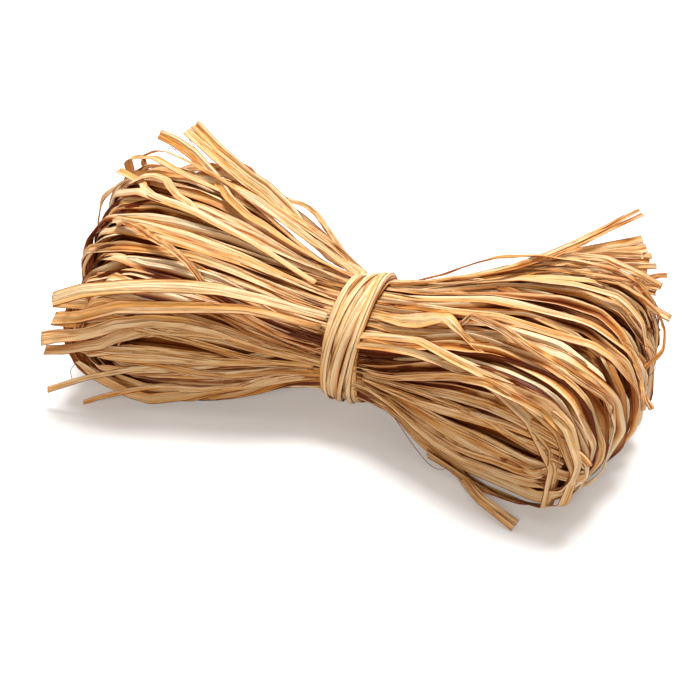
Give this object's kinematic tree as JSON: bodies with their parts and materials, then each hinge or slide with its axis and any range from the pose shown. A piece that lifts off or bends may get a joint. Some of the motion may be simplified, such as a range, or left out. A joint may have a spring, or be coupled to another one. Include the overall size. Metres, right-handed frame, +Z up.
{
  "type": "bundle of raffia",
  "caption": "Hank of natural raffia: flat leaf strips wound into long loops, tied tightly round the middle with raffia, fanning out to looped ends with a few cut strands standing away.",
  "frame": {"origin": "on the surface the hank lies on, under the middle of its box", "axes": "+X along the hank towards the lobe with the open loops, +Y across it, +Z up from the surface"},
  "size_m": [0.2564, 0.121, 0.0772],
  "materials": {
    "raffia_strand": "dry palm leaf strip, straw to golden tan, satin, lengthwise fibres and pleats, lets a little light through",
    "raffia_inner": "the same dry palm leaf in the shade of the outer turns, deeper golden brown",
    "raffia_tie": "dry palm leaf strip drawn tight, pale straw, satin, fine lengthwise fibres"
  },
  "bodies": {
    "root": {"crossing_strand_1": "raffia_strand", "crossing_strand_2": "raffia_strand", "crossing_strand_3": "raffia_strand", "crossing_strand_4": "raffia_strand", "crossing_strand_5": "raffia_strand", "crossing_strand_6": "raffia_strand", "inner_strands": "raffia_inner", "loose_end_01": "raffia_strand", "loose_end_02": "raffia_strand", "loose_end_03": "raffia_strand", "loose_end_04": "raffia_strand", "loose_end_05": "raffia_strand", "loose_end_06": "raffia_strand", "loose_end_07": "raffia_strand", "loose_end_08": "raffia_strand", "loose_end_09": "raffia_strand", "loose_end_10": "raffia_strand", "loose_end_11": "raffia_strand", "loose_end_12": "raffia_strand", "loose_end_13": "raffia_strand", "side_strand_1": "raffia_strand", "side_strand_2": "raffia_strand", "side_strand_3": "raffia_strand", "side_strand_4": "raffia_strand", "side_strand_5": "raffia_strand", "side_strand_6": "raffia_strand", "side_strand_7": "raffia_strand", "strand_loop_01": "raffia_strand", "strand_loop_02": "raffia_strand", "strand_loop_03": "raffia_strand", "strand_loop_04": "raffia_strand", "strand_loop_05": "raffia_strand", "strand_loop_06": "raffia_strand", "strand_loop_07": "raffia_strand", "strand_loop_08": "raffia_strand", "strand_loop_09": "raffia_strand", "strand_loop_10": "raffia_strand", "strand_loop_11": "raffia_strand", "strand_loop_12": "raffia_strand", "tie_wrap_1": "raffia_tie", "tie_wrap_2": "raffia_tie", "tie_wrap_3": "raffia_tie", "tie_wrap_4": "raffia_tie", "tie_wrap_5": "raffia_tie", "tie_wrap_6": "raffia_tie"}
  },
  "joints": []
}
